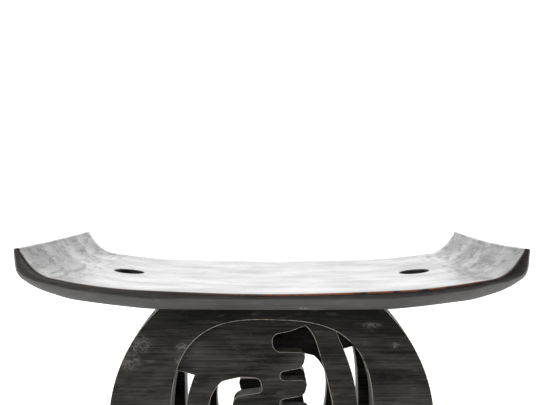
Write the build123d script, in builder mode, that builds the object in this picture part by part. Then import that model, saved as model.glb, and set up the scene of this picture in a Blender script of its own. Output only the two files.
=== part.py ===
"""Carved crescent stool: an upswept seat board on a pierced drum that stands on a slab.

Frame: millimetres, X along the seat, Y through the depth (front at -Y), +Z up.
The origin is on the floor, under the middle of the seat.
"""
import math
import os

from build123d import *

os.makedirs("parts", exist_ok=True)

# Seat board
seat_length = 560.0
seat_depth = 250.0  # across the two ends
seat_bow = 19.0  # how far each long edge swells out at mid length
seat_thickness = 17.0
sweep_rise = 12.7  # height gained from the middle to where each end curls
curl_length = 54.0  # from the start of the curl to the end of the board
end_rise = 47.0  # height of the end rims over the middle of the seat
rim_thickness = 7.5
corner_radius = 6.0

# The two carrying holes through the seat board
hole_length = 38.0
hole_width = 34.0
hole_clear = 43.0  # from the drum's shoulder to the near edge of the hole

# Drum
drum_radius = 192.0  # at its front and rear faces
drum_bulge = 3.0  # extra radius at mid depth
drum_depth = 146.0
drum_height = 304.0  # between the two flats
wall_thickness = 26.0
plate_thickness = 28.0  # front and rear rings
landing_margin = 4.0  # flat left on the seat's underside past the drum

# Aperture in each ring: a rounded square that leans a little, as cut by hand
land_above = 26.0  # least height of ring over and under the aperture
land_beside = 73.0  # least width of ring on each side
aperture_squareness = 2.9  # 2 is an ellipse, larger is squarer
aperture_lean = 1.5  # degrees, clockwise from outside
aperture_points = 32

# Openwork in each aperture
panel_recess = 8.0  # behind the ring's outer face
knuckle_count = 4
knuckle_pitch = 33.3
knuckle_step = 2.2  # each knuckle reaches this much further than the one above
knuckle_reach = 41.5  # of the first knuckle's tip, from the middle of the spine
knuckle_top = 85.5  # of the first knuckle's upper edge, over the drum's axis
knuckle_droop = 18.5  # from the knuckle's tip to its lower corner
knuckle_slant = 4.0  # how far that lower corner is set back
notch_root = 10.5  # from the middle of the spine to the bottom of each notch
notch_fall = 23.5  # from the knuckle's tip to the notch under it
knuckle_tip_radius = 5.5
knuckle_heel_radius = 11.0
notch_radius = 4.6

# Base slab
base_length = 480.0
base_depth = 236.0
base_bow = 8.0
base_thickness = 28.0
base_arris = 5.0

# Levels and half sizes that follow from the sizes above
drum_z = base_thickness + drum_height / 2
seat_underside = base_thickness + drum_height
seat_top = seat_underside + seat_thickness
half_length = seat_length / 2
half_depth = drum_depth / 2
belly_radius = drum_radius + drum_bulge
shoulder_x = math.sqrt(belly_radius**2 - (drum_height / 2) ** 2)
landing_x = shoulder_x + landing_margin
panel_thickness = plate_thickness - panel_recess
aperture_a = drum_radius - land_beside
aperture_b = drum_height / 2 - land_above
drum_axis = Axis((0, 0, drum_z), (0, 1, 0))

# The openwork is drawn for an aperture of this size and scaled to the one above
drawn_a = 119.0
drawn_b = 126.0


def face_plane(side, depth):
    """Upright plane `depth` inside the drum's front (-1) or rear (+1) face, seen from outside."""
    return Plane(origin=(0, side * (half_depth - depth), drum_z), x_dir=(-side, 0, 0), z_dir=(0, side, 0))


def drawn(x, z):
    """A point of the openwork, in the sizes that the aperture has now."""
    return (x * aperture_a / drawn_a, z * aperture_b / drawn_b)


def drawn_length(size):
    """A radius of the openwork, in the sizes that the aperture has now."""
    return size * min(aperture_a / drawn_a, aperture_b / drawn_b)


def on_aperture(turn):
    """The point of the aperture's outline at `turn` degrees."""
    power = 2 / aperture_squareness
    cosine = math.cos(math.radians(turn))
    sine = math.sin(math.radians(turn))
    x = aperture_a * math.copysign(abs(cosine) ** power, cosine)
    z = aperture_b * math.copysign(abs(sine) ** power, sine)
    lean = math.radians(aperture_lean)
    return (x * math.cos(lean) + z * math.sin(lean), z * math.cos(lean) - x * math.sin(lean))


def aperture_face():
    """The whole aperture, drawn from outside."""
    with BuildSketch() as face:
        with BuildLine():
            turns = [360 * i / aperture_points for i in range(aperture_points)]
            Spline([on_aperture(turn) for turn in turns], periodic=True)
        make_face()
    return face.sketch


def knuckled_gap():
    """The gap between the spine and the arm: its spine side is a row of knuckles."""
    # The shoulder over the first knuckle, then the knuckles, then the foot of the gap
    corners = [drawn(40.4, 117.6), drawn(22.0, 110.6), drawn(0.0, 106.5), drawn(3.0, 86.5)]
    radii = [30.0, 9.0, 9.0]
    for i in range(knuckle_count):
        top = knuckle_top - i * knuckle_pitch
        reach = knuckle_reach + i * knuckle_step
        corners += [
            drawn(reach, top),
            drawn(reach - knuckle_slant, top - knuckle_droop),
            drawn(notch_root, top - notch_fall),
        ]
        radii += [knuckle_tip_radius, knuckle_heel_radius, notch_radius]
        if i < knuckle_count - 1:
            corners += [drawn(notch_root, top - knuckle_pitch)]
            radii += [notch_radius]
    corners += [drawn(14.0, -54.5), drawn(36.0, -56.0), drawn(58.0, -51.0)]
    radii += [8.0, 20.0]
    with BuildSketch() as gap:
        with BuildLine():
            Spline(
                drawn(40.4, 117.6),
                drawn(50.8, 103.2),
                drawn(55.4, 90.0),
                drawn(66.7, 50.6),
                drawn(75.5, 0.0),
                drawn(72.5, -30.0),
                drawn(58.0, -51.0),
            )
            FilletPolyline(corners, radius=[drawn_length(radius) for radius in radii])
        make_face()
    return gap.sketch


def outer_sliver():
    """The crescent gap between the arm and the ring; its outer side is past the aperture."""
    with BuildSketch() as gap:
        with BuildLine():
            Spline(
                drawn(77.6, 109.0),
                drawn(85.5, 90.5),
                drawn(98.2, 51.7),
                drawn(103.5, 8.0),
                drawn(100.5, -28.0),
                drawn(91.6, -58.2),
            )
            Polyline(
                drawn(91.6, -58.2),
                drawn(140.0, -72.0),
                drawn(140.0, 130.0),
                drawn(77.6, 130.0),
                drawn(77.6, 109.0),
            )
        make_face()
    return gap.sketch


def arm_region():
    """The part of the aperture that holds one arm, cut off from the spine's mass at both ends."""
    with BuildSketch() as region:
        with BuildLine():
            Polyline(
                drawn(40.4, 117.6),
                drawn(42.0, 140.0),
                drawn(140.0, 140.0),
                drawn(140.0, -72.0),
                drawn(91.6, -58.2),
                drawn(58.0, -51.0),
                drawn(52.0, -20.0),
                drawn(54.0, 60.0),
                close=True,
            )
        make_face()
    return region.sketch


def drum_slice(y_low, y_high):
    """Solid slice of the drum: a shallow barrel about the depth axis, cut flat above and below."""
    with BuildPart() as piece:
        with BuildSketch(Plane.XY.offset(drum_z)):
            with BuildLine():
                ThreePointArc((drum_radius, -half_depth), (belly_radius, 0), (drum_radius, half_depth))
                Polyline(
                    (drum_radius, half_depth),
                    (0, half_depth),
                    (0, -half_depth),
                    (drum_radius, -half_depth),
                )
            make_face()
        revolve(axis=drum_axis)
        with Locations((0, (y_low + y_high) / 2, drum_z)):
            Box(3 * drum_radius, y_high - y_low, drum_height, mode=Mode.INTERSECT)
    return piece.part


def bowed_plan(length, depth, bow):
    """Plan outline with straight ends and long edges that swell outwards."""
    with BuildSketch() as plan:
        with BuildLine():
            ThreePointArc((-length / 2, -depth / 2), (0, -depth / 2 - bow), (length / 2, -depth / 2))
            Line((length / 2, -depth / 2), (length / 2, depth / 2))
            ThreePointArc((length / 2, depth / 2), (0, depth / 2 + bow), (-length / 2, depth / 2))
            Line((-length / 2, depth / 2), (-length / 2, -depth / 2))
        make_face()
        fillet(plan.vertices(), radius=corner_radius)
    return plan.sketch


# Seat board: one long upswept section, cut to the bowed plan.
# The points of its curves are shares of the run and the rise that they cross, or margins from an end.
curl_x = half_length - curl_length
curl_rise = end_rise - sweep_rise
sweep_x = (landing_x + curl_x) / 2
seat_plan = bowed_plan(seat_length, seat_depth, seat_bow)
with BuildPart() as seat_board:
    with BuildSketch(Plane.XZ.offset(-seat_depth)):
        with BuildLine():
            top = Spline(
                (0, seat_top),
                (0.58 * curl_x, seat_top + 0.25 * sweep_rise),
                (0.82 * curl_x, seat_top + 0.52 * sweep_rise),
                (curl_x, seat_top + sweep_rise),
                (curl_x + 0.45 * curl_length, seat_top + sweep_rise + 0.20 * curl_rise),
                (curl_x + 0.70 * curl_length, seat_top + sweep_rise + 0.55 * curl_rise),
                (half_length - rim_thickness, seat_top + end_rise - rim_thickness / 2),
                tangents=((1, 0), (0.55, 0.83)),
            )
            rim = ThreePointArc(
                top @ 1,
                (half_length - rim_thickness / 2, seat_top + end_rise),
                (half_length, seat_top + end_rise - rim_thickness / 2),
            )
            underside = Spline(
                rim @ 1,
                (half_length - 1, seat_underside + end_rise + 2),
                (half_length - 4.5, seat_underside + end_rise - 8.5),
                (half_length - 13, seat_underside + end_rise - 18),
                (curl_x + 0.5 * curl_length, seat_underside + end_rise - 25),
                (curl_x, seat_underside + sweep_rise - 0.5),
                (sweep_x, seat_underside + 0.33 * sweep_rise),
                (landing_x, seat_underside),
                tangents=((0, -1), (-1, 0)),
                tangent_scalars=(1, 0.4),
            )
            Line(underside @ 1, (0, seat_underside))
            mirror(about=Plane.YZ)
        make_face()
    extrude(amount=2 * seat_depth)
    with BuildSketch(Plane.XY):
        add(seat_plan)
    extrude(amount=2 * seat_top, mode=Mode.INTERSECT)
    with BuildSketch(Plane.XY):
        hole_x = shoulder_x + hole_clear + hole_length / 2
        with Locations((-hole_x, 0), (hole_x, 0)):
            Ellipse(hole_length / 2, hole_width / 2)
    extrude(amount=2 * seat_top, mode=Mode.SUBTRACT)
seat_board.part.label = "seat_board"
export_step(seat_board.part, "parts/seat_board.step")

# Front and rear of the drum: a ring, and set back in it a knuckled spine between two arms
aperture = aperture_face()
gaps = (knuckled_gap(), outer_sliver())
arm_ground = arm_region()
inner_y = half_depth - plate_thickness
for name, side in (("front", -1), ("rear", 1)):
    disc = drum_slice(*sorted((side * inner_y, side * half_depth)))
    with BuildPart() as ring:
        add(disc)
        with BuildSketch(face_plane(side, 0)):
            add(aperture)
        extrude(amount=-plate_thickness, mode=Mode.SUBTRACT)
    ring.part.label = f"{name}_ring"
    export_step(ring.part, f"parts/{name}_ring.step")

    with BuildPart() as spine:
        with BuildSketch(face_plane(side, panel_recess)):
            add(aperture)
            for turn in (0, 180):
                add((*gaps, arm_ground), rotation=turn, mode=Mode.SUBTRACT)
        extrude(amount=-panel_thickness)
    spine.part.label = f"{name}_spine"
    export_step(spine.part, f"parts/{name}_spine.step")

    for which, turn in (("upper", 0), ("lower", 180)):
        with BuildPart() as arm:
            with BuildSketch(face_plane(side, panel_recess)):
                add(arm_ground, rotation=turn)
                add(gaps, rotation=turn, mode=Mode.SUBTRACT)
                add(aperture, mode=Mode.INTERSECT)
            extrude(amount=-panel_thickness)
        arm.part.label = f"{name}_{which}_arm"
        export_step(arm.part, f"parts/{name}_{which}_arm.step")

# Side walls of the drum, between the two rings
barrel = drum_slice(-inner_y, inner_y)
for name, kept in (("left", Keep.BOTTOM), ("right", Keep.TOP)):
    with BuildPart() as wall:
        add(barrel)
        with Locations(Plane(origin=(0, 0, drum_z), z_dir=(0, 1, 0))):
            Cylinder(drum_radius - wall_thickness, drum_depth, mode=Mode.SUBTRACT)
        split(bisect_by=Plane.YZ, keep=kept)
    wall.part.label = f"{name}_wall"
    export_step(wall.part, f"parts/{name}_wall.step")

# Base slab
base_plan = bowed_plan(base_length, base_depth, base_bow)
with BuildPart() as base_slab:
    with BuildSketch(Plane.XY):
        add(base_plan)
    extrude(amount=base_thickness)
    fillet(base_slab.edges().group_by(Axis.Z)[-1], radius=base_arris)
base_slab.part.label = "base_slab"
export_step(base_slab.part, "parts/base_slab.step")
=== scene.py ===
# %% [markdown]
# # A carved crescent stool
# This lesson dresses a carved hardwood stool: an upswept seat board, a round drum pierced with
# openwork on both faces, and a flat slab. The fixed frame gives every size and place, in metres,
# with X along the seat, Y from front to back and Z up.

# %% Load the frame
import math

import bpy
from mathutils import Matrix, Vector, noise
from mathutils.bvhtree import BVHTree


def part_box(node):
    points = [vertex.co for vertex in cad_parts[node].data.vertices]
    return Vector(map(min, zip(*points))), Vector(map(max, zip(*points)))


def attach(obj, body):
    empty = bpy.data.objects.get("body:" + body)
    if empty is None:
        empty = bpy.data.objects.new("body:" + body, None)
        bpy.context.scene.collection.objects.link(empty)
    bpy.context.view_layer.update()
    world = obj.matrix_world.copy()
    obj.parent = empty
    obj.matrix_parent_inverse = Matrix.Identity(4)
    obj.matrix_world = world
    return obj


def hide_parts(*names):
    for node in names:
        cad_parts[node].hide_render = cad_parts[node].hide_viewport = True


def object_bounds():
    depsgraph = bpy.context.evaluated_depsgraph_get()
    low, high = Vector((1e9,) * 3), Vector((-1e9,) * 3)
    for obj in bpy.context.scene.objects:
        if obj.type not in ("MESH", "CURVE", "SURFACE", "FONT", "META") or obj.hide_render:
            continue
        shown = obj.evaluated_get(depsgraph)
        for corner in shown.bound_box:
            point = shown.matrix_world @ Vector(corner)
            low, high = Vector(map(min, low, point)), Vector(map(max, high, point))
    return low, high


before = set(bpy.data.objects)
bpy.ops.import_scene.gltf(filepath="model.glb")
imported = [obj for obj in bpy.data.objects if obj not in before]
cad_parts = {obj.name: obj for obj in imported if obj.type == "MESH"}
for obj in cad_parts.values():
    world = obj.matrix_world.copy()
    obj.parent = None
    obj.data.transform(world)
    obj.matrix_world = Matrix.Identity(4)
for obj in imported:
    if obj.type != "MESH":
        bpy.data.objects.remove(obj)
cad_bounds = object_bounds()
MM = 0.001
seat_low, seat_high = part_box("seat_board")
ring_low, ring_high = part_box("front_ring")
base_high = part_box("base_slab")[1]
drum_centre = Vector((0, 0, (ring_low.z + ring_high.z) / 2))
print("frame box, metres:", [[round(x, 4) for x in corner] for corner in cad_bounds])

# %% [markdown]
# ## The camera
# The eye is close, and only a hand's breadth above the seat's ends. So the top is seen nearly
# edge-on and mirrors whatever is behind it, while the faces towards us mirror the dim side.

# %% Camera
FRAME_WIDTH = 539.0
FOCAL_LENGTH = 594.0  # in the same unit as the frame's width
EYE_DISTANCE = 641 * MM  # from the seat's front corners
EYE_ABOVE_RIMS = 64 * MM
EYE_RIGHT_OF_MIDDLE = 1 * MM
LOOKS_DOWN = 1.33  # degrees
LOOKS_LEFT = 0.27  # degrees
end_half_depth = 125.0  # of the seat at its two ends, in mm
camera_data = bpy.data.cameras.new("camera")
camera_data.sensor_width = 36.0
camera_data.lens = camera_data.sensor_width * FOCAL_LENGTH / FRAME_WIDTH
camera_data.clip_start = 0.01
camera_data.clip_end = 50.0
camera = bpy.data.objects.new("camera", camera_data)
bpy.context.scene.collection.objects.link(camera)
eye_y = -end_half_depth * MM - EYE_DISTANCE
camera.location = (EYE_RIGHT_OF_MIDDLE, eye_y, seat_high.z + EYE_ABOVE_RIMS)
camera.rotation_euler = (math.radians(90 - LOOKS_DOWN), 0, math.radians(LOOKS_LEFT))
bpy.context.scene.camera = camera
print("camera at", [round(x, 3) for x in camera.location], "lens", round(camera_data.lens, 2))


# %% [markdown]
# Three helpers serve every material: one turns a screen colour into linear light, one adds a node
# with its settings and its links, and one spells out the four ends of a Map Range. A Mix node has
# sockets of every type: for colours, 0 is the factor, 6 and 7 are the colours, and output 2 is what
# comes out.

# %% Helpers for colours and nodes
def linear(code, alpha=1.0):
    """A #rrggbb screen colour as linear RGBA."""
    channels = [int(code[i : i + 2], 16) / 255 for i in (1, 3, 5)]
    return tuple(c / 12.92 if c <= 0.04045 else ((c + 0.055) / 1.055) ** 2.4 for c in channels) + (alpha,)


def put(tree, kind, inputs=(), **settings):
    """Adds a node. inputs maps a socket to a value, or to (node, output) to link it."""
    node = tree.nodes.new("ShaderNode" + kind)
    for name, value in settings.items():
        setattr(node, name, value)
    for socket, value in dict(inputs).items():
        if isinstance(value, tuple) and isinstance(value[0], bpy.types.Node):
            tree.links.new(value[0].outputs[value[1]], node.inputs[socket])
        else:
            node.inputs[socket].default_value = value
    return node


def ends(low, high, to_low=0.0, to_high=1.0):
    """The inputs that make a Map Range stretch low to high over to_low to to_high."""
    return {"From Min": low, "From Max": high, "To Min": to_low, "To Max": to_high}


# %% [markdown]
# ## The light
# One world with a bright far side and a dim near side lights the top and leaves the faces dark. The
# Light Path node shows plain white to the camera itself, whatever light the world gives. Two wide,
# weak lamps, overhead and near us on the left, soften the shade in the openwork.

# %% World and lamps
DIM_SIDE, BRIGHT_SIDE = -0.35, 0.55  # depthwise part of the direction, 1 being straight back
DIM, BRIGHT = 0.12, 2.1  # strength of the light from each side
world = bpy.data.worlds.new("studio")
bpy.context.scene.world = world
world.use_nodes = True
sky = world.node_tree
sky.nodes.clear()
where = put(sky, "TexCoord")
split = put(sky, "SeparateXYZ", {"Vector": (where, "Generated")})
from_behind = {"Value": (split, "Y"), **ends(DIM_SIDE, BRIGHT_SIDE, DIM, BRIGHT)}
depthwise = put(sky, "MapRange", from_behind, interpolation_type="SMOOTHSTEP")
lit = put(sky, "Background", {"Color": (1, 1, 1, 1), "Strength": (depthwise, "Result")})
seen = put(sky, "Background", {"Color": (1, 1, 1, 1), "Strength": 1.0})
path = put(sky, "LightPath")
choice = {0: (path, "Is Camera Ray"), 1: (lit, "Background"), 2: (seen, "Background")}
either = put(sky, "MixShader", choice)
put(sky, "OutputWorld", {"Surface": (either, "Shader")})


def softbox(name, location, aim, size, watts):
    """Adds a square lamp at location that faces aim."""
    data = bpy.data.lights.new(name, "AREA")
    data.size = size
    data.energy = watts
    lamp = bpy.data.objects.new(name, data)
    lamp.location = location
    lamp.rotation_euler = (Vector(aim) - Vector(location)).to_track_quat("-Z", "Y").to_euler()
    bpy.context.scene.collection.objects.link(lamp)


softbox("overhead", (-0.3, -0.4, 2.0), drum_centre, size=1.6, watts=8)
softbox("near_fill", (-1.2, -1.6, 1.0), drum_centre, size=1.2, watts=8)
print("lamps:", [(lamp.name, lamp.energy) for lamp in bpy.data.lights])

# %% [markdown]
# The stool stands on pale paper, with painted light and shade in it: its colour is painted bright,
# and glows, under and behind the stool, and is painted grey as shade in front. So the underside of
# the seat catches the paper, and the upright faces stay dark.

# %% Floor, with painted light and shade
FLOOR_SIZE = 24  # metres, so that its edges are far off
SHADED_BEFORE, BRIGHT_BEHIND = -0.75, -0.3  # places along Y, in metres
SHADED_PAPER, BRIGHT_PAPER = "#c0c0be", "#f6f6f4"
# Painted light: the bright part of the paper glows as if it were a lamp.
PAPER_GLOW = 0.58  # light that the bright paper gives off itself
bpy.ops.object.select_all(action="DESELECT")
bpy.ops.mesh.primitive_plane_add(size=FLOOR_SIZE, location=(0, 0, cad_bounds[0][2]))
floor = bpy.context.active_object
floor.name = "studio_floor"
paper = bpy.data.materials.new("white_paper_floor")
paper.use_nodes = True
sheet = paper.node_tree
sheet.nodes.clear()
spot = put(sheet, "SeparateXYZ", {"Vector": (put(sheet, "TexCoord"), "Object")})
# Painted shade: the paper's colour goes from grey in front to bright behind, along Y.
falloff = {"Value": (spot, "Y"), **ends(SHADED_BEFORE, BRIGHT_BEHIND)}
painted_light_share = put(sheet, "MapRange", falloff, interpolation_type="SMOOTHSTEP")
papers = {0: (painted_light_share, "Result"), 6: linear(SHADED_PAPER), 7: linear(BRIGHT_PAPER)}
tint = put(sheet, "Mix", papers, data_type="RGBA")
glow = put(sheet, "Math", {0: (painted_light_share, "Result"), 1: PAPER_GLOW}, operation="MULTIPLY")
sheet_looks = {
    "Base Color": (tint, 2),
    "Roughness": 0.9,
    "Emission Color": (1, 1, 1, 1),
    "Emission Strength": (glow, "Value"),
}
sheet_shader = put(sheet, "BsdfPrincipled", sheet_looks)
put(sheet, "OutputMaterial", {"Surface": (sheet_shader, "BSDF")})
floor.data.materials.append(paper)
bpy.context.scene.view_settings.view_transform = "Standard"
print("floor at height", round(floor.location.z, 4))

# %% [markdown]
# ## The wood
# The stool is cut from one block of close-grained hardwood, stained black and rubbed with wax. The
# wax is a thin clear film: it mirrors strongly where it is seen edge-on, and hardly at all from in
# front. One flat black would look like plastic, so the stain is mottled, the gloss is broken up by
# the grain, and dust and knocks leave pale scuffs. Some light and shade is painted into the colour
# too: painted light on what faces up, a painted glint on the seat and painted shade under it. All of
# it is noise on Object coordinates, divided by real sizes, so that it runs along the seat and through
# every member alike.

# %% Helpers for materials
def new_tree(name):
    """An empty material and its node tree."""
    material = bpy.data.materials.new(name)
    material.use_nodes = True
    material.node_tree.nodes.clear()
    return material, material.node_tree


def streaks(tree, place, sizes, detail=4.0, roughness=0.6):
    """Noise whose patches have the given sizes along X, Y and Z."""
    scaled = put(tree, "Mapping", {"Vector": (place, "Object"), "Scale": tuple(1 / size for size in sizes)})
    fineness = {"Scale": 1.0, "Detail": detail, "Roughness": roughness}
    return put(tree, "TexNoise", {"Vector": (scaled, "Vector"), **fineness})


# %% [markdown]
# The stain took unevenly. It is paler where the fine noise of the grain and the broad noise of the
# mottling are both high, so the two are multiplied. Close under the seat, where its overhang shades
# the drum, painted shade darkens the stain towards the top.

# %% Stain, with painted shade under the seat
GRAIN = (80 * MM, 3 * MM, 1.9 * MM)  # one streak; finer in life, drawn coarse enough to show
MOTTLE = (70 * MM, 35 * MM, 25 * MM)  # uneven patches of stain
STAINED = (0.15, 0.36)  # of the two noises multiplied, from the dark colour to the light
UNDER_SEAT_SHADE_LIGHT = 0.1  # share of the light colour that is left in the painted shade right under the seat


def stained(tree, place, uneven, dark, light, shaded_under_seat):
    """The stain. shaded_under_seat is the two heights in mm over which painted shade darkens it towards the
    seat, or None.
    """
    tone = put(tree, "MapRange", {"Value": (uneven, "Value"), **ends(*STAINED)})
    shade = (tone, "Result")
    # Painted shade: the stain is darkened towards the seat above, where the seat shades it.
    if shaded_under_seat:
        low, high = (size * MM for size in shaded_under_seat)
        height = put(tree, "SeparateXYZ", {"Vector": (place, "Object")})
        painted_shade = put(tree, "MapRange", {"Value": (height, "Z"), **ends(low, high, 1.0, UNDER_SEAT_SHADE_LIGHT)})
        darker = put(tree, "Math", {0: shade, 1: (painted_shade, "Result")}, operation="MULTIPLY")
        shade = (darker, "Value")
    return put(tree, "Mix", {0: shade, 6: linear(dark), 7: linear(light)}, data_type="RGBA")


# %% [markdown]
# Dust stays in rubbed places. What faces up, which the surface's normal tells, is painted paler
# still: partly dust, and partly painted light from above. It is one pale colour that is mixed over
# the stain, in the patches of a noise.

# %% Dust and painted light from above
RUB = (26 * MM, 9 * MM, 7 * MM)  # dusty, rubbed places
RUBBED = (0.55, 0.78)  # of that noise, from clean to dusty
FACING_UP = (0.6, 0.95)  # upward part of the normal, from clean to dusty and painted paler
UPWARD_PATCHES = (0.3, 0.6)  # of the noise, from least to most dust and painted light on what faces up
LEAST_UPWARD_PATCHES = 0.3


def dusted_and_lit(tree, rub, colour, dust_and_light, scuffed, upward_dust_and_light):
    """A colour with dust over it, as much as scuffed, and upward_dust_and_light more dust and painted light
    on what faces up.
    """
    dusty = put(tree, "MapRange", {"Value": (rub, "Fac"), **ends(*RUBBED, 0.0, scuffed)})
    colour = put(tree, "Mix", {0: (dusty, "Result"), 6: (colour, 2), 7: linear(dust_and_light)}, data_type="RGBA")
    # Painted light: upward faces are painted paler, partly as dust and partly as light falling from above.
    if upward_dust_and_light:
        facing = put(tree, "SeparateXYZ", {"Vector": (put(tree, "NewGeometry"), "Normal")})
        upward = put(tree, "MapRange", {"Value": (facing, "Z"), **ends(*FACING_UP, 0.0, upward_dust_and_light)})
        patches = put(tree, "MapRange", {"Value": (rub, "Fac"), **ends(*UPWARD_PATCHES, LEAST_UPWARD_PATCHES, 1.0)})
        dust_and_light_on_top = put(tree, "Math", {0: (upward, "Result"), 1: (patches, "Result")}, operation="MULTIPLY")
        layers = {0: (dust_and_light_on_top, "Value"), 6: (colour, 2), 7: linear(dust_and_light)}
        colour = put(tree, "Mix", layers, data_type="RGBA")
    return colour


# %% [markdown]
# Knocks leave pale bruises: patches of thin scratches with darker wood between them. A noise crosses
# its own middle value along thin lines, so the scratches are drawn where it is close to that value.
# A round gradient at the place of each knock says how much of them shows. On the seat the same pale
# mark is a painted glint, light caught at the lower front edge above the drum.

# %% Bruises and a painted glint
SCRATCH = (9 * MM, 9 * MM, 7 * MM)  # loops of the scratches within a bruise
NOISE_MIDDLE = 0.5
SCRATCH_WIDTH = 0.05  # how far from the middle value a scratch fades out
BETWEEN_SCRATCHES = 0.12  # share of the pale colour that lies between them
PALE_MARK_EDGE = 0.6  # of its half size, over which each pale mark fades in
PALE_MARK_STRENGTH = 0.75


def bruised_and_glinting(tree, place, colour, dust_and_light, knocks_and_glints):
    """A colour with a pale mark at each of knocks_and_glints: bruises, and a painted glint on the seat;
    centres and half sizes in mm.
    """
    scratches = streaks(tree, place, SCRATCH, detail=5.0, roughness=0.75)
    beside = put(tree, "Math", {0: (scratches, "Fac"), 1: NOISE_MIDDLE}, operation="SUBTRACT")
    away = put(tree, "Math", {0: (beside, "Value")}, operation="ABSOLUTE")
    lines = {"Value": (away, "Value"), **ends(0.0, SCRATCH_WIDTH, 1.0, BETWEEN_SCRATCHES)}
    scratched = put(tree, "MapRange", lines)
    # Each pale mark is a bruise; the seat's one is a painted glint.
    for centre, sizes in knocks_and_glints:
        centred = {"Location": tuple(-c / size for c, size in zip(centre, sizes))}
        scaled = {"Scale": tuple(1 / (size * MM) for size in sizes)}
        local = put(tree, "Mapping", {"Vector": (place, "Object"), **centred, **scaled})
        ball = put(tree, "TexGradient", {"Vector": (local, "Vector")}, gradient_type="SPHERICAL")
        fading = {"Value": (ball, "Fac"), **ends(0.0, PALE_MARK_EDGE, 0.0, PALE_MARK_STRENGTH)}
        within = put(tree, "MapRange", fading)
        pale_mark = put(tree, "Math", {0: (within, "Result"), 1: (scratched, "Result")}, operation="MULTIPLY")
        layers = {0: (pale_mark, "Value"), 6: (colour, 2), 7: linear(dust_and_light)}
        colour = put(tree, "Mix", layers, data_type="RGBA")
    return colour


# %% [markdown]
# At the seat's curled ends a blunt gouge has left short dents side by side, on the inside faces
# only. They are too shallow to need a mesh, so a bump draws them. Wax was never rubbed into them, so
# their depth also dulls the film. The ends show cut grain, so there the grain's relief fades.

# %% Gouge marks
CHATTER = (8 * MM, 24 * MM, 8 * MM)  # one mark, across the board
CHATTER_FOOT = 200 * MM  # from the middle, where the gouge marks begin
CHATTER_RUN = 30 * MM  # over which they come in
CUT_GRAIN = 0.25  # share of the grain's relief that is left at the ends
FACING_IN = (0.0, 0.3)  # upward part of the normal, from the outside faces to the inside ones
DENTED = (0.5, 0.64)  # of the noise, from whole to dented
DENT_DEPTH = 0.6 * MM
DENT_RELIEF = 0.6  # strength of the bump
DENT_WAX = 0.36  # share of the wax that is left in a dent


def at_curled_ends(tree, place):
    """A node whose Result is 0 along the middle of the board and 1 at its curled ends."""
    way = put(tree, "SeparateXYZ", {"Vector": (place, "Object")})
    out = put(tree, "Math", {0: (way, "X")}, operation="ABSOLUTE")
    coming_in = ends(CHATTER_FOOT, CHATTER_FOOT + CHATTER_RUN)
    return put(tree, "MapRange", {"Value": (out, "Value"), **coming_in})


def gouged(tree, place, at_ends, surface):
    """Adds dents to the bump of a surface, and gives that and a node with their depth."""
    gouge = streaks(tree, place, CHATTER, detail=2.0)
    turned = put(tree, "SeparateXYZ", {"Vector": (put(tree, "NewGeometry"), "Normal")})
    facing = put(tree, "MapRange", {"Value": (turned, "Z"), **ends(*FACING_IN)})
    inside = put(tree, "Math", {0: (at_ends, "Result"), 1: (facing, "Result")}, operation="MULTIPLY")
    depth = put(tree, "MapRange", {"Value": (gouge, "Fac"), **ends(*DENTED)})
    dents = put(tree, "Math", {0: (inside, "Value"), 1: (depth, "Result")}, operation="MULTIPLY")
    marks = {"Height": (dents, "Value"), "Normal": (surface, "Normal"), "Strength": DENT_RELIEF}
    dented = put(tree, "Bump", {**marks, "Distance": DENT_DEPTH}, invert=True)
    return dented, dents


# %% [markdown]
# Now these come together in one recipe. The gloss is the film of wax, a coat over the wood, thinner
# where the stain is dark. The pores and the grain stand in slight relief, which breaks it up.

# %% Black waxed hardwood
PORE = (7 * MM, 0.9 * MM, 0.9 * MM)  # open pores, as fine scratches along the grain
PORE_DEPTH = 0.12 * MM
PORE_RELIEF = 0.3
GRAIN_DEPTH = 0.3 * MM
GRAIN_RELIEF = 0.4
GLOSSY = (0.3, 0.7)  # of the grain, from the least roughness to the most
GLOSS_RANGE = 0.22  # how much rougher the roughest streaks are
WAXED = (0.15, 0.33)  # of the two noises multiplied, from thin wax to full
THIN_WAX = 0.45  # share of the wax where it is thin


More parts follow.
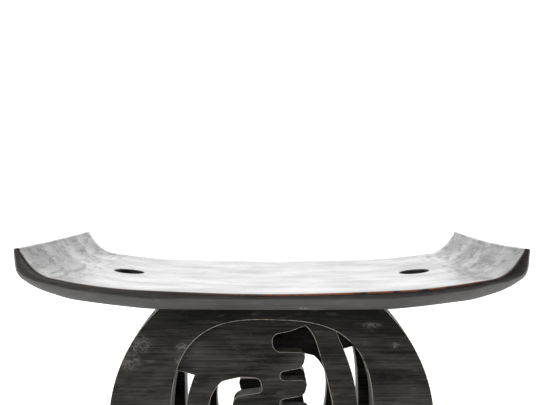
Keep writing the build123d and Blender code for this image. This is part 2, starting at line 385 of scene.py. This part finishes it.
def black_wood(
    name,
    dark,
    light,
    dust_and_light,
    shine,
    scuffed,
    wax,
    mirror=0.5,
    chattered=False,
    upward_dust_and_light=0.0,
    shaded_under_seat=None,
    knocks_and_glints=(),
):
    """Stained, waxed hardwood, of three screen colours: dark and light stain, and dust_and_light, the pale
    colour of dust, bruises and painted light.

    shine is its least roughness, scuffed how much dust shows on it and wax how much wax is left.
    mirror is the strength of the bare wood's own reflection. chattered says whether gouge marks
    show at its ends, and upward_dust_and_light how much more dust and painted light from above lie on
    what faces up. shaded_under_seat is the two heights in mm between which painted shade darkens the
    wood towards the seat. knocks_and_glints are pale bruises, and on the seat a painted glint: centre
    and half sizes in mm.
    """
    material, tree = new_tree(name)
    place = put(tree, "TexCoord")
    grain = streaks(tree, place, GRAIN)
    mottle = streaks(tree, place, MOTTLE, detail=3.0)
    pores = streaks(tree, place, PORE, detail=2.0)
    rub = streaks(tree, place, RUB, detail=6.0, roughness=0.72)
    uneven = put(tree, "Math", {0: (grain, "Fac"), 1: (mottle, "Fac")}, operation="MULTIPLY")
    colour = stained(tree, place, uneven, dark, light, shaded_under_seat)
    colour = dusted_and_lit(tree, rub, colour, dust_and_light, scuffed, upward_dust_and_light)
    colour = bruised_and_glinting(tree, place, colour, dust_and_light, knocks_and_glints)
    gloss = put(tree, "MapRange", {"Value": (grain, "Fac"), **ends(*GLOSSY, shine, shine + GLOSS_RANGE)})
    film = put(tree, "MapRange", {"Value": (uneven, "Value"), **ends(*WAXED, wax * THIN_WAX, wax)})
    coat = (film, "Result")
    heights = [(pores, "Fac"), (grain, "Fac")]
    if chattered:
        at_ends = at_curled_ends(tree, place)
        lengthwise = put(tree, "MapRange", {"Value": (at_ends, "Result"), **ends(0.0, 1.0, 1.0, CUT_GRAIN)})
        for number, height in enumerate(heights):
            faded = put(tree, "Math", {0: height, 1: (lengthwise, "Result")}, operation="MULTIPLY")
            heights[number] = (faded, "Value")
    pits = {"Height": heights[0], "Strength": PORE_RELIEF}
    pitted = put(tree, "Bump", {**pits, "Distance": PORE_DEPTH})
    waves = {"Height": heights[1], "Normal": (pitted, "Normal"), "Strength": GRAIN_RELIEF}
    surface = put(tree, "Bump", {**waves, "Distance": GRAIN_DEPTH})
    if chattered:
        surface, dents = gouged(tree, place, at_ends, surface)
        dull = put(tree, "MapRange", {"Value": (dents, "Value"), **ends(0.0, 1.0, 1.0, DENT_WAX)})
        dulled = put(tree, "Math", {0: coat, 1: (dull, "Result")}, operation="MULTIPLY")
        coat = (dulled, "Value")
    looks = {
        "Base Color": (colour, 2),
        "Roughness": (gloss, "Result"),
        "Normal": (surface, "Normal"),
        "Specular IOR Level": mirror,
        "Coat Weight": coat,
        "Coat Roughness": 0.18,
    }
    shader = put(tree, "BsdfPrincipled", looks)
    put(tree, "OutputMaterial", {"Surface": (shader, "BSDF")})
    return material


# %% [markdown]
# The three parts of the stool wear differently. The seat is polished by use and keeps the most wax,
# and carries one painted glint at its front edge. The drum has almost none left: it is matt, dusty
# and painted paler by light from above on its ledges, darkened by painted shade just under the seat,
# and bruised where people's heels and other furniture knock it. The slab lies between the two,
# scuffed by feet, with a little dust and painted light on its top.

# %% The three woods
DRUM_KNOCKS = [
    ((-160, -73, 277), (24, 8, 15)),
    ((-167, -73, 257), (17, 8, 12)),
    ((-104, -73, 274), (10, 8, 6)),
    ((-106, -73, 258), (9, 8, 7)),
    ((144, -73, 276), (8, 8, 5)),
    ((118, -73, 300), (14, 8, 4)),
]
SEAT_GLINTS = [((34, -137, 332.5), (9, 6, 1.8))]  # a painted glint, at the seat's lower front edge over the drum
seat_wood = black_wood(
    "black_waxed_seat_wood",
    dark="#100d0b",
    light="#241f1c",
    dust_and_light="#8d877f",
    shine=0.28,
    scuffed=0.22,
    wax=0.75,
    chattered=True,
    knocks_and_glints=SEAT_GLINTS,
)
drum_wood = black_wood(
    "black_waxed_drum_wood",
    dark="#0a0909",
    light="#4b4947",
    dust_and_light="#8f8b83",
    shine=0.5,
    scuffed=0.3,
    wax=0.05,
    mirror=0.18,
    # dust and painted light from above on the drum's ledges
    upward_dust_and_light=0.9,
    # painted shade: the stain darkens from 270 mm up to 322 mm, under the seat
    shaded_under_seat=(270, 322),
    knocks_and_glints=DRUM_KNOCKS,
)
slab_wood = black_wood(
    "black_waxed_slab_wood",
    dark="#0f0e0d",
    light="#2f2d2a",
    dust_and_light="#8f8b83",
    shine=0.45,
    scuffed=0.35,
    wax=0.25,
    # a little dust and painted light from above on the slab's top
    upward_dust_and_light=0.12,
)


# %% [markdown]
# Hands and feet rub the stain off the arrises first, so a thin line of bare wood shows there: warm
# brown on the seat, paler and dustier on the drum. It comes and goes along the edge, and on the seat
# it is barest where people sit down and get up.

# %% Rubbed arrises
PATCH = (16 * MM, 16 * MM, 16 * MM)  # one bare stretch
BARE_FROM, BARE_TO = 0.62, 0.74  # of the noise, from stained to bare, where hardly any is bare
BARER = 0.3  # how much lower both lie where nearly all is bare
LEAST_BARE = 0.08  # share of the wear outside the barest stretch


def rubbed_arris(name, bare, stain, bare_share, barest=None):
    """The wood of an arris, bare in about bare_share of its length.

    barest is (from, to, fade) in mm along X: outside it the arris keeps most of its stain.
    """
    material, tree = new_tree(name)
    place = put(tree, "TexCoord")
    patches = streaks(tree, place, PATCH, detail=5.0, roughness=0.7)
    wear = ends(BARE_FROM - BARER * bare_share, BARE_TO - BARER * bare_share)
    worn = put(tree, "MapRange", {"Value": (patches, "Fac"), **wear})
    share = (worn, "Result")
    if barest:
        start, end, fade = (size * MM for size in barest)
        along = put(tree, "SeparateXYZ", {"Vector": (place, "Object")})
        coming_in = ends(start - fade, start + fade, LEAST_BARE, 1.0)
        rising = put(tree, "MapRange", {"Value": (along, "X"), **coming_in})
        going_out = ends(end - fade, end + fade, 1.0, LEAST_BARE)
        falling = put(tree, "MapRange", {"Value": (along, "X"), **going_out})
        within = put(tree, "Math", {0: (rising, "Result"), 1: (falling, "Result")}, operation="MULTIPLY")
        barer = put(tree, "Math", {0: share, 1: (within, "Value")}, operation="MULTIPLY")
        share = (barer, "Value")
    colour = put(tree, "Mix", {0: share, 6: linear(stain), 7: linear(bare)}, data_type="RGBA")
    looks = {"Base Color": (colour, 2), "Roughness": 0.5, "Coat Weight": 0.2, "Coat Roughness": 0.3}
    shader = put(tree, "BsdfPrincipled", looks)
    put(tree, "OutputMaterial", {"Surface": (shader, "BSDF")})
    return material


seat_arris = rubbed_arris("rubbed_brown_seat_arris", "#84471f", "#1a110c", 0.8, barest=(-30, 190, 70))
drum_arris = rubbed_arris("rubbed_pale_drum_arris", "#b8aea2", "#33302c", 0.85)
print("materials:", [material.name for material in bpy.data.materials])


# %% [markdown]
# ## Choosing what an operator works on
# Every edit-mode operator acts on what is selected. These helpers leave one object selected, and then
# in it only the edges or faces that pass a test of place or angle.

# %% Helpers for editing
TOUCHING = 0.02 * MM  # closer than this, two corners or faces are the same
WORN = 1  # every piece's second material, for its rubbed arrises


def only(*pieces):
    """Selects these objects and nothing else; the first is the active one."""
    bpy.ops.object.select_all(action="DESELECT")
    for piece in pieces:
        piece.select_set(True)
    bpy.context.view_layer.objects.active = pieces[0]


def edit(piece, operator, **settings):
    """Runs an edit-mode operator on what is selected in the piece."""
    only(piece)
    bpy.ops.object.mode_set(mode="EDIT")
    operator(**settings)
    bpy.ops.object.mode_set(mode="OBJECT")


def pick(piece, kind, chosen):
    """Selects the edges or faces of a piece whose numbers are in chosen."""
    edit(piece, bpy.ops.mesh.select_mode, type=kind)
    edit(piece, bpy.ops.mesh.select_all, action="DESELECT")
    items = piece.data.edges if kind == "EDGE" else piece.data.polygons
    for number in chosen:
        items[number].select = True


def close_up(piece):
    """Merges corners that fall together and turns every face outwards."""
    edit(piece, bpy.ops.mesh.select_all, action="SELECT")
    edit(piece, bpy.ops.mesh.remove_doubles, threshold=TOUCHING)
    edit(piece, bpy.ops.mesh.normals_make_consistent, inside=False)


def finish_piece(piece, smooth_below, slot_name, *replaced):
    """Smooths turns of fewer degrees, and lets the piece stand for its CAD members on the one body."""
    only(piece)
    bpy.ops.object.shade_smooth_by_angle(angle=math.radians(smooth_below))
    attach(piece, "root")
    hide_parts(*replaced)
    low = [round(min(v.co[i] for v in piece.data.vertices) / MM, 1) for i in range(3)]
    high = [round(max(v.co[i] for v in piece.data.vertices) / MM, 1) for i in range(3)]
    print(piece.name, len(piece.data.polygons), "faces, from", low, "to", high, "mm")


# %% [markdown]
# ## The seat board
# On the real stool this is one long upswept board, hollowed with a curved adze: nearly flat in the
# middle, curling up to a thin rounded rim at each end. Its lower long edges are cut back to a steep,
# slightly rounded bevel and its top edges left crisp. A flat board could be bent with a modifier, but
# this one changes thickness as it goes. So a flat grid is wrapped round it like paper: its X runs
# from rim to rim, its Y goes once round the board's section, and the seam and the two rims are merged
# shut. A table of stations gives the curves, and a smooth cubic runs through them.

# %% The curves of the board
# Stations from the middle to a rim, in mm from the top of the middle: x and height of the top, then
# x and height of the underside. The underside is flat where it lands on the drum.
HALF_STATIONS = [
    (0, 0, 0, -17),
    (60, 0.9, 60, -17),
    (100, 2.1, 100, -17),
    (128, 3.0, 128, -17),
    (160, 4.4, 161.5, -14.3),
    (190, 7.2, 192.5, -11),
    (226, 12.7, 229.5, -6),
    (245, 17.1, 252, 1.5),
    (255, 22.7, 265.5, 9),
    (265, 33, 277, 21),
    (272.5, 43.25, 280, 43.25),
]
STATIONS = [(-a, b, -c, d) for a, b, c, d in reversed(HALF_STATIONS[1:])] + HALF_STATIONS
RIM_RADIUS = 3.75  # of the half circle that ends the board
middle_top = seat_high.z / MM - HALF_STATIONS[-1][1] - RIM_RADIUS
landing = seat_low.z / MM - middle_top
landing_end = HALF_STATIONS[3][0]  # from the middle, where the flat underside ends
thin_from = HALF_STATIONS[5][0]
tool_depth = 0.35  # how far tool marks may stand proud
middle_half_depth = seat_high.y / MM - tool_depth
bow = middle_half_depth - end_half_depth
bow_radius = (seat_high.x / MM) ** 2 / (2 * bow) + bow / 2
reach = [0.0]
for before, after in zip(STATIONS, STATIONS[1:]):
    reach.append(reach[-1] + math.dist(before[:2], after[:2]))


def eased(value, low, high):
    """0 up to low, 1 from high on, and smooth between."""
    f = min(max((value - low) / (high - low), 0), 1)
    return f * f * (3 - 2 * f)


def slope(i, column):
    """How fast a column of the stations changes at station i, per mm along the top."""
    low, high = max(i - 1, 0), min(i + 1, len(STATIONS) - 1)
    steps = []
    for k in range(low, high):
        change = STATIONS[k + 1][column] - STATIONS[k][column]
        steps.append(change / (reach[k + 1] - reach[k]))
    if len(steps) == 1:
        return steps[0]
    share = (reach[i] - reach[low]) / (reach[high] - reach[low])
    return steps[0] * (1 - share) + steps[1] * share


def station(s):
    """The smooth row of the table that lies s mm along the top."""
    i = max(k for k in range(len(STATIONS) - 1) if reach[k] <= s or k == 0)
    span = reach[i + 1] - reach[i]
    f = (s - reach[i]) / span
    row = []
    for column in range(4):
        start, end = STATIONS[i][column], STATIONS[i + 1][column]
        out, into = slope(i, column) * span, slope(i + 1, column) * span
        cubic = 2 * (start - end) + out + into
        square = 3 * (end - start) - 2 * out - into
        row.append(((cubic * f + square) * f + out) * f + start)
    row[3] = max(row[3], landing)
    return row


profile = [station(s) for s in range(int(reach[-1]) + 1)]
print("the top is", round(reach[-1], 1), "mm long along its curve")


# %% [markdown]
# One row of the grid goes once round the section. Half of it is described, from the middle of the top
# to the middle of the underside, and the other half mirrors it. The corner steps lie close together,
# because that is where the light turns.

# %% One row of the wrap
TOP_STEPS = 44
ARRIS_STEPS = 3
SIDE_STEPS = 2
ROUND_STEPS = 10
HALF_STEPS = 2 * TOP_STEPS + ARRIS_STEPS + SIDE_STEPS + ROUND_STEPS
TOP_ARRIS = 2.0  # worn radius of the top edges
UNDERCUT = 12.2  # height of the bevel under the long edges, in the middle
UNDERCUT_AT_RIM = 2.5
UNDERCUT_SLANT = 0.68  # its depth, as a share of its height
UNDERCUT_FADES = (228, 276)  # from the middle, where it runs out towards the rims
UNDERCUT_BULGE = 1.14  # 1 is a flat bevel, 2 a quarter round
ARRIS_SHARE = 0.2  # of the thickness, at most
UNDERCUT_SHARE = 0.75  # of the thickness, at most
CORNER = 2.0  # radius of the rims' ends


def bulged(turn, bulge):
    """Cosine and sine of an angle in degrees, on a curve between a flat bevel and a square corner."""
    across, along = math.cos(math.radians(turn)), math.sin(math.radians(turn))
    return max(across, 0) ** (2 / bulge), max(along, 0) ** (2 / bulge)


def edge_point(j, half_depth, thickness, from_middle):
    """Step j of half the section, from the middle of the top to the middle of the underside.

    The first number is the distance out from the middle, the second how deep in the thickness.
    """
    arris = min(TOP_ARRIS, ARRIS_SHARE * thickness)
    fading = eased(from_middle, *UNDERCUT_FADES)
    under = min(UNDERCUT + (UNDERCUT_AT_RIM - UNDERCUT) * fading, UNDERCUT_SHARE * thickness)
    inset = UNDERCUT_SLANT * under
    if j <= TOP_STEPS:
        return (half_depth - arris) * j / TOP_STEPS, 0.0
    j -= TOP_STEPS
    if j <= ARRIS_STEPS:
        turn = math.radians(90 * j / ARRIS_STEPS)
        return half_depth - arris * (1 - math.sin(turn)), arris * (1 - math.cos(turn))
    j -= ARRIS_STEPS
    if j <= SIDE_STEPS:
        return half_depth, arris + (thickness - arris - under) * j / SIDE_STEPS
    j -= SIDE_STEPS
    if j <= ROUND_STEPS:
        across, along = bulged(90 * j / ROUND_STEPS, UNDERCUT_BULGE)
        return half_depth - inset * (1 - across), thickness - under * (1 - along)
    j -= ROUND_STEPS
    return (half_depth - inset) * (1 - j / TOP_STEPS), thickness


# %% [markdown]
# The rims are closed by a few more rows past the last station, which draw the section together into a
# nearly flat-topped round. Near each rim's two corners the board also gets a little narrower.

# %% Wrap the grid
STEP = 2.5  # between rows along the board
RIM_STEPS = 8
RIM_BULGE = 3.0  # the rims' tops are nearly flat
CLOSED = 0.01  # thinner than this, the section has drawn together
plain_rows = round(reach[-1] / STEP)
rows = plain_rows + 2 * RIM_STEPS
bpy.ops.object.select_all(action="DESELECT")
bpy.ops.mesh.primitive_grid_add(x_subdivisions=rows, y_subdivisions=2 * HALF_STEPS, size=2)
seat = bpy.context.active_object
seat.name = "seat_board_carved"
seat.data.materials.append(seat_wood)
seat.data.materials.append(seat_arris)


def row_section(i):
    """Top, underside and the way to the nearer rim's tip, of row i."""
    inner = min(max(i - RIM_STEPS, 0), plain_rows)
    top_x, top_z, low_x, low_z = station(reach[-1] * inner / plain_rows)
    past = max(RIM_STEPS - i, i - plain_rows - RIM_STEPS, 0) / RIM_STEPS
    narrowing, lifted = bulged(90 * past, RIM_BULGE)
    rise = RIM_RADIUS * lifted
    middle_x = (top_x + low_x) / 2
    top_x = middle_x + (top_x - middle_x) * narrowing
    low_x = middle_x + (low_x - middle_x) * narrowing
    to_tip = min(inner, plain_rows - inner) * reach[-1] / plain_rows + RIM_RADIUS * (1 - past)
    return (top_x, top_z + rise), (low_x, low_z + rise), to_tip


arris_steps = range(TOP_STEPS, TOP_STEPS + ARRIS_STEPS)
for face in seat.data.polygons:
    if int(abs(face.center.y) * HALF_STEPS) in arris_steps:
        face.material_index = WORN
sections = [row_section(i) for i in range(rows + 1)]
for vertex in seat.data.vertices:
    i = round((vertex.co.x + 1) / 2 * rows)
    j = round(vertex.co.y * HALF_STEPS)
    (top_x, top_z), (low_x, low_z), to_tip = sections[i]
    thickness = math.dist((top_x, top_z), (low_x, low_z))
    half_depth = end_half_depth + bow - bow_radius + math.sqrt(bow_radius**2 - top_x**2)
    if to_tip < CORNER:
        half_depth -= CORNER - math.sqrt(CORNER**2 - (CORNER - to_tip) ** 2)
    out, down = edge_point(abs(j), half_depth, thickness, abs(top_x))
    share = down / thickness if thickness > CLOSED else 0.0
    x = top_x + (low_x - top_x) * share
    z = top_z + (low_z - top_z) * share
    vertex.co = Vector((x, math.copysign(out, j), middle_top + z)) * MM
close_up(seat)
print("wrapped:", len(seat.data.vertices), "corners")


# %% [markdown]
# The adze leaves its mark. Wide shallow hollows run up each curled end with soft ridges between them,
# the rims sag a little in the middle, the top is faintly dished and the whole surface uneven. These
# are real shape, so the corners of the mesh are moved. Sculpting by hand would do, but a formula
# gives the same board every time.

# %% Hollows, sagging rims and tool marks
RIDGES = {-1: (-160, -130, -62, -1, 60, 115, 160), 1: (-160, -85, -27, 42, 112, 160)}  # along Y
HOLLOW = 1.1  # depth
HOLLOW_FOOT = 205.0  # from the middle, where the hollows begin
HOLLOW_FULL = 245.0
HOLLOW_AT_RIM = 0.25  # share of the depth that is left at the rim
HOLLOW_FADES = 0.5  # share of the rims' height, above which they get shallower
SAG = {-1: 1.0, 1: 3.5}  # of each rim, at the middle of its length
DISH = 2.5  # how much lower the top is along the middle than along its edges
BELLY = 1.3  # how much the underside hangs below its landing, outside the drum
BELLY_RUN = 25  # from the drum's faces, over which it comes in
SHAVED = 0.1  # off the whole board, so that tool marks don't stand out past its size
DOWNWARD = -0.9  # upward part of the normal, where a face lies flat on the drum
LONG_MARKS = (70, 11, 11)  # size of a tool mark along X, Y and Z
LONG_DEPTH = 0.12
BROAD_MARKS = (130, 45, 30)
BROAD_DEPTH = 0.22
BROAD_START = 7  # elsewhere in the same noise, so that the two don't fall together


def hollow(side, y):
    """Depth of the adzed hollows across an end, as a share of the deepest."""
    ridges = RIDGES[side]
    low = max(ridge for ridge in ridges if ridge <= y)
    high = min(ridge for ridge in ridges if ridge > y)
    return math.sin(math.pi * (y - low) / (high - low))


def unevenness(place):
    """Tool marks in mm: narrow ones along the board, and broad waves under them."""
    length, width, height = LONG_MARKS
    long_marks = noise.noise(Vector((place.x / length, place.y / width, place.z / height)))
    length, width, height = BROAD_MARKS
    broad_place = Vector((place.x / length, place.y / width, place.z / height + BROAD_START))
    return LONG_DEPTH * long_marks + BROAD_DEPTH * noise.noise(broad_place)


def adze(piece):
    """Moves every corner of the seat by the marks that the adze left there."""
    rim_height = seat_high.z / MM - middle_top
    drum_half_depth = -ring_low.y / MM
    normals = [vertex.normal.copy() for vertex in piece.data.vertices]
    for vertex, normal in zip(piece.data.vertices, normals):
        place = vertex.co / MM
        side = 1 if place.x > 0 else -1
        over_drum = abs(place.x) < landing_end and abs(place.y) < drum_half_depth
        if normal.z < DOWNWARD and over_drum:
            continue  # the landing on the drum stays flat
        at_end = eased(abs(place.x), HOLLOW_FOOT, HOLLOW_FULL)
        near_rim = eased(place.z - middle_top, HOLLOW_FADES * rim_height, rim_height)
        depth = HOLLOW * at_end * (1 - near_rim * (1 - HOLLOW_AT_RIM)) * hollow(side, place.y)
        facing_in = min(max(normal.z - side * normal.x, 0), 1)
        middle = max(1 - (place.y / end_half_depth) ** 2, 0)
        hanging = max(-normal.z, 0) * eased(abs(place.y), drum_half_depth, drum_half_depth + BELLY_RUN)
        hanging *= 1 - eased(abs(place.x), thin_from, HOLLOW_FULL)
        vertex.co.z -= BELLY * hanging * MM
        vertex.co -= normal * (depth * facing_in - unevenness(place) + SHAVED) * MM
        vertex.co.z -= (SAG[side] * at_end + DISH * (1 - at_end) * max(normal.z, 0)) * middle * MM
        vertex.co.x = min(max(vertex.co.x, seat_low.x), seat_high.x)


adze(seat)
print("rims sag by", SAG, "mm, hollows", HOLLOW, "mm deep")

# %% [markdown]
# Two oval holes go through the board, one past each shoulder of the drum, to carry it by. A boolean
# cuts them. The cutter is flared where it leaves the wood, so that the mouth of each hole is eased
# as a worn one is, without bevelling the fine mesh around it.

# %% Carrying holes
HOLE_LENGTH = 38.0
HOLE_WIDTH = 34.0
HOLE_X = 184.15
HOLE_SIDES = 64
SEAT_SMOOTH = 40  # degrees
MOUTH = 1.0  # how much wider the eased mouth is
# Rings of the cutter: height over the top, or under the underside where negative, and extra radius
CUTTER_RINGS = [(6, 6 + MOUTH), (0, MOUTH), (-MOUTH, 0)]


def hole_cutter(side):
    """A flared oval plug that follows the slope of the board at its two faces."""
    rings = len(CUTTER_RINGS) * 2
    bpy.ops.object.select_all(action="DESELECT")
    bpy.ops.mesh.primitive_cylinder_add(vertices=HOLE_SIDES, radius=1, depth=2)
    plug = bpy.context.active_object
    plug.name = "hole_cutter"
    uprights = []
    for edge in plug.data.edges:
        first, last = (plug.data.vertices[number].co.z for number in edge.vertices)
        if abs(first - last) > 1:
            uprights.append(edge.index)
    pick(plug, "EDGE", uprights)
    edit(plug, bpy.ops.mesh.subdivide_edgering, number_cuts=rings - 2, interpolation="LINEAR", smoothness=0)
    for vertex in plug.data.vertices:
        level = round((vertex.co.z + 1) / 2 * (rings - 1))
        from_top = level >= rings / 2
        over, wider = CUTTER_RINGS[rings - 1 - level if from_top else level]
        x = HOLE_X + vertex.co.x * (HOLE_LENGTH / 2 + wider)
        y = vertex.co.y * (HOLE_WIDTH / 2 + wider)
        column = 0 if from_top else 2
        row = min(profile, key=lambda row: abs(row[column] - x))
        z = row[column + 1] + (over if from_top else -over) - (DISH if from_top else 0)
        vertex.co = Vector((side * x, y, middle_top + z)) * MM
    edit(plug, bpy.ops.mesh.select_all, action="SELECT")
    edit(plug, bpy.ops.mesh.normals_make_consistent, inside=False)
    return plug


for side in (-1, 1):
    plug = hole_cutter(side)
    only(seat)
    cut = seat.modifiers.new("carrying_hole", "BOOLEAN")
    cut.operation = "DIFFERENCE"
    cut.solver = "EXACT"
    cut.object = plug
    bpy.ops.object.modifier_apply(modifier=cut.name)
    bpy.data.objects.remove(plug, do_unlink=True)
finish_piece(seat, SEAT_SMOOTH, "seat_wood", "seat_board")

# %% [markdown]
# ## The drum
# The frame already holds the drum's true shape, so its members are copied, not modelled again. A copy
# is loose triangles: it is merged, and its flat faces are dissolved back to whole ones. Only then can
# the arrises be bevelled, into the thin worn facets that catch the light. Where members that are one
# piece of openwork meet, the faces between them are taken out first.

# %% Copying carved members
FLAT = 0.5  # degrees; faces that turn by less are one face


def surface_of(node):
    """The surface of a CAD member, for finding what lies on it."""
    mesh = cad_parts[node].data
    corners = [vertex.co for vertex in mesh.vertices]
    return BVHTree.FromPolygons(corners, [face.vertices for face in mesh.polygons])


def carved_copy(name, wood, *nodes):
    """One clean mesh from copies of CAD members, without the faces where those members meet."""
    surfaces = {node: surface_of(node) for node in nodes}
    copies = []
    for node in nodes:
        copy = bpy.data.objects.new(name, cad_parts[node].data.copy())
        bpy.context.scene.collection.objects.link(copy)
        copy.data.materials.clear()
        copies.append(copy)
        hidden = []
        for face in copy.data.polygons:
            for other in nodes:
                if other != node and surfaces[other].find_nearest(face.center, TOUCHING)[0]:
                    hidden.append(face.index)
        pick(copy, "FACE", hidden)
        edit(copy, bpy.ops.mesh.delete, type="FACE")
    only(*copies)
    if len(copies) > 1:
        bpy.ops.object.join()
    piece = copies[0]
    piece.name = name
    piece.data.materials.append(wood)
    piece.data.materials.append(drum_arris)
    close_up(piece)
    only(piece)
    bpy.ops.mesh.customdata_custom_splitnormals_clear()
    edit(piece, bpy.ops.mesh.select_all, action="SELECT")
    edit(piece, bpy.ops.mesh.dissolve_limited, angle_limit=math.radians(FLAT))
    return piece


def sharp_edges(piece, least_turn=40):
    """The edges of a piece where its faces turn by more than an angle, with their middles."""
    mesh = piece.data
    faces_of = {}
    for face in mesh.polygons:
        for key in face.edge_keys:
            faces_of.setdefault(key, []).append(face.normal)
    found = {}
    for edge in mesh.edges:
        normals = faces_of.get(edge.key, [])
        if len(normals) == 2 and normals[0].angle(normals[1], 0) > math.radians(least_turn):
            first, last = (mesh.vertices[number].co for number in edge.vertices)
            found[edge.index] = (first + last) / 2
    return found


# %% [markdown]
# Each face of the drum is a ring with a rounded square opening. Only the edges on its outer face are
# bevelled, and not those that meet the seat or the slab, because no hand reaches those.

# %% Rings
ARRIS = 0.6 * MM  # width of the worn facet
ON_FACE = 0.1 * MM  # closer than this to a face's plane, an edge lies on it
DRUM_SMOOTH = 22  # degrees
drum_top = seat_low.z
for side, face in ((-1, "front"), (1, "rear")):
    ring = carved_copy(f"{face}_ring_carved", drum_wood, f"{face}_ring")
    outer_y = side * max(abs(ring_low.y), abs(ring_high.y))
    on_face = {
        number: middle
        for number, middle in sharp_edges(ring).items()
        if abs(middle.y - outer_y) < ON_FACE and base_high.z + MM < middle.z < drum_top - MM
    }
    pick(ring, "EDGE", on_face)
    edit(ring, bpy.ops.mesh.bevel, offset=ARRIS, segments=2, affect="EDGES", material=WORN)
    finish_piece(ring, DRUM_SMOOTH, "drum_wood", f"{face}_ring")

# %% [markdown]
# The spine and its two hooked arms were carved as one pierced panel, so they become one mesh. Its
# edges are bevelled on the outer face, except where it grows out of the ring.

# %% Openwork
NEAR_RING = 0.4 * MM
for side, face in ((-1, "front"), (1, "rear")):
    members = [f"{face}_{member}" for member in ("spine", "upper_arm", "lower_arm")]
    openwork = carved_copy(f"{face}_openwork_carved", drum_wood, *members)
    panel_y = max(abs(vertex.co.y) for vertex in openwork.data.vertices)
    ring_surface = surface_of(f"{face}_ring")
    free = {
        number: middle
        for number, middle in sharp_edges(openwork).items()
        if abs(abs(middle.y) - panel_y) < ON_FACE and not ring_surface.find_nearest(middle, NEAR_RING)[0]
    }
    pick(openwork, "EDGE", free)
    edit(openwork, bpy.ops.mesh.bevel, offset=ARRIS, segments=2, affect="EDGES", material=WORN)
    finish_piece(openwork, DRUM_SMOOTH, "drum_wood", *members)

# %% [markdown]
# The two walls close the drum's sides between the rings. They are plain and curved, with no free
# edge to wear, so the copies only need smoothing.

# %% Side walls
for side in ("left", "right"):
    wall = carved_copy(f"{side}_wall_carved", drum_wood, f"{side}_wall")
    finish_piece(wall, DRUM_SMOOTH, "drum_wood", f"{side}_wall")

# %% [markdown]
# The slab that the drum stands on is plain, but years of being dragged over floors have knocked its
# arrises soft. So they are bevelled wider than the drum's, in three steps, which reads as round.

# %% Base slab
SLAB_ARRIS = 1.6 * MM
SLAB_SMOOTH = 25  # degrees
slab = carved_copy("base_slab_carved", slab_wood, "base_slab")
outline = {
    number: middle
    for number, middle in sharp_edges(slab).items()
    if max(abs(middle.x) - base_high.x, abs(middle.y) - base_high.y) > -ON_FACE
}
pick(slab, "EDGE", outline)
edit(slab, bpy.ops.mesh.bevel, offset=SLAB_ARRIS, segments=3, affect="EDGES", material=WORN)
finish_piece(slab, SLAB_SMOOTH, "drum_wood", "base_slab")
